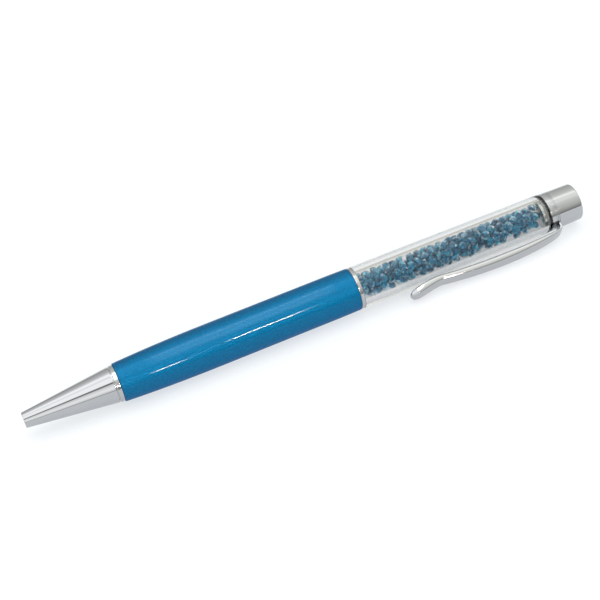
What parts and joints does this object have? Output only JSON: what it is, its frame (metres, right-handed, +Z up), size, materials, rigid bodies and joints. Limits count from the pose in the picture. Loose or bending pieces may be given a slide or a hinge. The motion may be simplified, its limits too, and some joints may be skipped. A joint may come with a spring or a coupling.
{
  "type": "twist ballpoint pen",
  "caption": "Twist-action ballpoint pen: chrome nose, lacquered metal lower barrel, crystal-filled clear upper barrel, chrome clip and cap, metal refill.",
  "frame": {"origin": "centre of the nose cone's mouth, on the pen's axis", "axes": "+X along the pen's axis from the nose to the cap; +Z up with the pen lying on a table; the clip faces -Y and down, 66 degrees from straight down"},
  "size_m": [0.14, 0.0136, 0.0104],
  "materials": {
    "chrome": "bright chrome plate on brass, polished",
    "blue_lacquer": "metallic teal-blue lacquer with fine flakes under a clear coat, on brass",
    "clear_acrylic": "clear polished acrylic",
    "crystal_teal": "steel-teal cut glass crystals, polished facets",
    "brass": "turned brass",
    "satin_metal": "satin nickel on brass",
    "spring_steel": "bright spring steel",
    "refill_metal": "drawn metal tube, satin",
    "carbide": "ground tungsten carbide",
    "seal_rubber": "smooth black rubber",
    "black_plastic": "moulded acetal",
    "white_plastic": "moulded acetal",
    "ink_blue": "blue ballpoint paste"
  },
  "bodies": {
    "lower_section": {"nose_cone": "chrome", "lower_barrel": "blue_lacquer", "front_insert": "brass", "rear_insert": "brass"},
    "mechanism": {"mechanism_housing": "brass"},
    "upper_section": {"twist_rotor": "black_plastic", "retaining_ring": "spring_steel", "friction_ring": "seal_rubber", "upper_adapter": "brass", "centre_ring": "chrome", "clear_tube": "clear_acrylic", "crystals": "crystal_teal", "end_plug": "satin_metal", "end_seal": "seal_rubber", "clip_collar": "chrome", "clip_ring": "chrome", "top_cap": "chrome"},
    "clip": {"clip_arm": "chrome"},
    "refill_carriage": {"refill_carrier": "white_plastic", "drive_pins": "spring_steel", "refill_tube": "refill_metal", "refill_tip": "brass", "ink": "ink_blue"},
    "writing_ball": {"point_ball": "carbide"}
  },
  "joints": [
    {"name": "barrel_pull_apart", "type": "slide", "parent": "lower_section", "child": "mechanism", "axis": [1, 0, 0], "range_m": [0, 0.085]},
    {"name": "twist", "type": "hinge", "parent": "mechanism", "child": "upper_section", "pos_m": [0.08095, 0, 0], "axis": [1, 0, 0], "range_deg": [0, 180]},
    {"name": "refill_advance", "type": "slide", "parent": "upper_section", "child": "refill_carriage", "axis": [-1, 0, 0], "range_m": [0, 0.0045]},
    {"name": "ball_roll", "type": "hinge", "parent": "refill_carriage", "child": "writing_ball", "pos_m": [0.0019, 0, 0], "axis": [0, 1, 0], "continuous": true},
    {"name": "clip_flex", "type": "hinge", "parent": "upper_section", "child": "clip", "pos_m": [0.1332, -0.00457, -0.00203], "axis": [0, -0.4067, 0.9135], "range_deg": [0, 3], "stiffness_Nm_per_rad": 3}
  ],
  "couplings": [
    {"joint": "refill_advance", "follows": "twist", "m_per_rad": 0.0014324}
  ]
}
